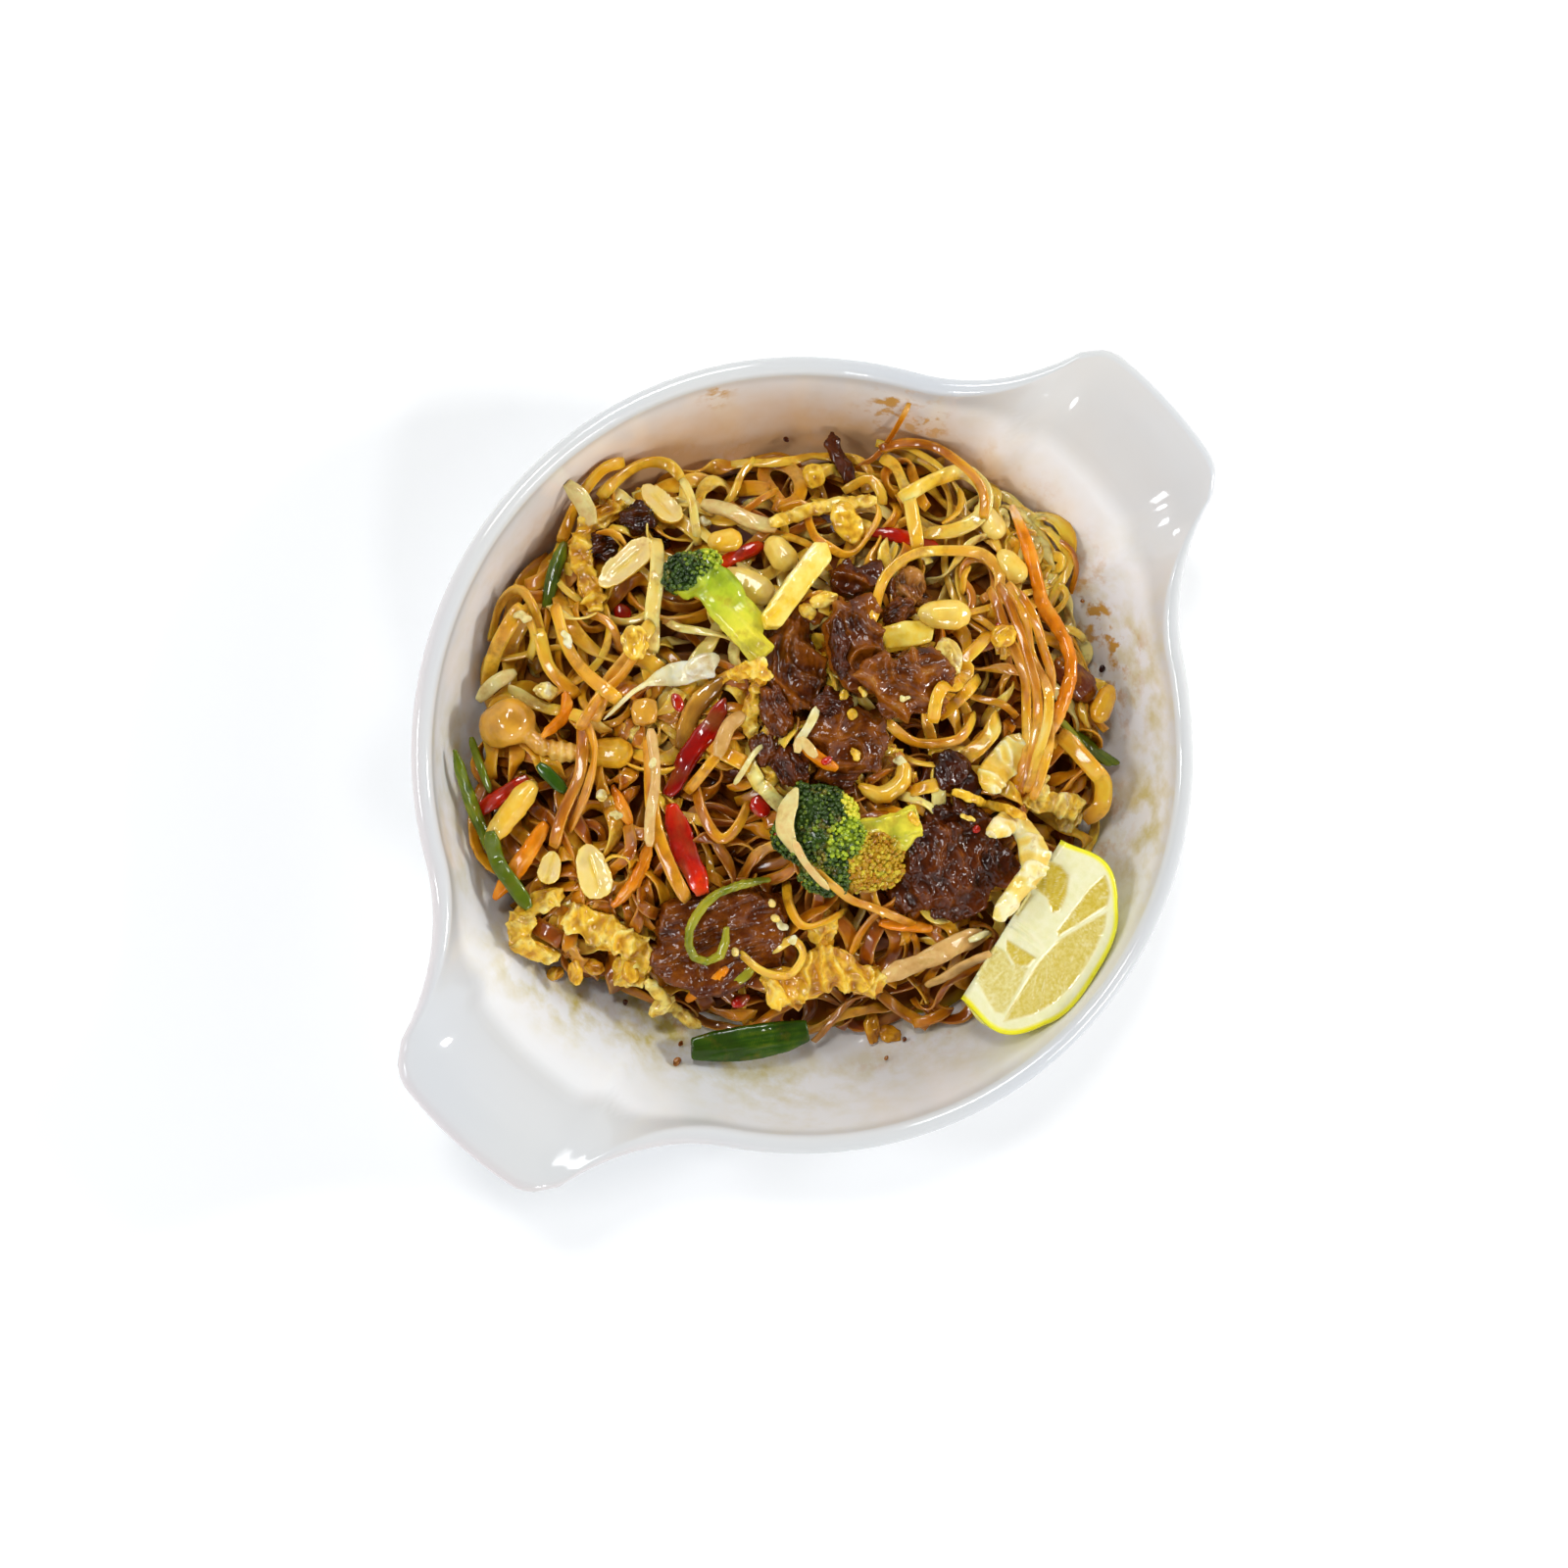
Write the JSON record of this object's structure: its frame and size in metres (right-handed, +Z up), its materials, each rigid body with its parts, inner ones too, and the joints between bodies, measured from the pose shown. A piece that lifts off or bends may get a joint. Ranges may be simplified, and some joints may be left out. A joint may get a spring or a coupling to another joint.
{
  "type": "pad thai",
  "caption": "Serving of pad thai with beef, broccoli, egg, peanuts and a lemon wedge in a round white porcelain dish with two tab handles.",
  "frame": {"origin": "on the table under the middle of the dish, at the underside of its foot ring", "axes": "+X through the two tab handles, +Z up; the lemon wedge lies towards -Y"},
  "size_m": [0.2618, 0.206, 0.0554],
  "materials": {
    "porcelain": "glossy white glaze",
    "noodles": "moist flat rice noodles glazed with sauce",
    "beef": "browned, fibrous and moist",
    "broccoli": "matt florets on a smooth pale stem",
    "peanut": "roasted and oily",
    "peanut_skin": "thin papery skin",
    "carrot": "moist shreds",
    "red_pepper": "smooth glossy skin",
    "spring_onion": "smooth ribbed leaf",
    "mushroom": "smooth moist cap and stem",
    "egg": "soft ruffled omelette",
    "onion": "pale and wet",
    "lemon": "wet cut pulp with white pith and waxy rind"
  },
  "bodies": {
    "root": {"dish": "porcelain", "noodle_heap": "noodles", "beef_1": "beef", "beef_2": "beef", "beef_3": "beef", "beef_4": "beef", "beef_5": "beef", "beef_6": "beef", "beef_7": "beef", "broccoli_1": "broccoli", "broccoli_2": "broccoli", "peanut_1": "peanut", "peanut_2": "peanut", "peanut_3": "peanut", "peanut_4": "peanut", "peanut_5": "peanut", "peanut_6": "peanut", "peanut_7": "peanut", "peanut_8": "peanut", "peanut_9": "peanut", "peanut_10": "peanut", "peanut_11": "peanut", "peanut_12": "peanut", "peanut_14": "peanut", "peanut_15": "peanut", "peanut_16": "peanut", "peanut_13": "peanut_skin", "carrot_1": "carrot", "carrot_2": "carrot", "carrot_3": "carrot", "carrot_4": "carrot", "carrot_5": "carrot", "carrot_6": "carrot", "red_pepper_1": "red_pepper", "red_pepper_2": "red_pepper", "red_pepper_3": "red_pepper", "red_pepper_4": "red_pepper", "red_pepper_5": "red_pepper", "spring_onion_1": "spring_onion", "spring_onion_2": "spring_onion", "spring_onion_3": "spring_onion", "spring_onion_4": "spring_onion", "onion_ring": "spring_onion", "mushroom": "mushroom", "mushroom_slice_1": "mushroom", "mushroom_slice_2": "mushroom", "mushroom_slice_3": "mushroom", "tofu_cube": "mushroom", "egg_1": "egg", "egg_2": "egg", "egg_3": "egg", "egg_4": "egg", "egg_5": "egg", "egg_6": "egg", "egg_7": "egg", "egg_8": "egg", "onion_petal": "onion", "bamboo_shoot": "onion", "pineapple_wedge": "onion", "lemon_wedge": "lemon"}
  },
  "joints": []
}
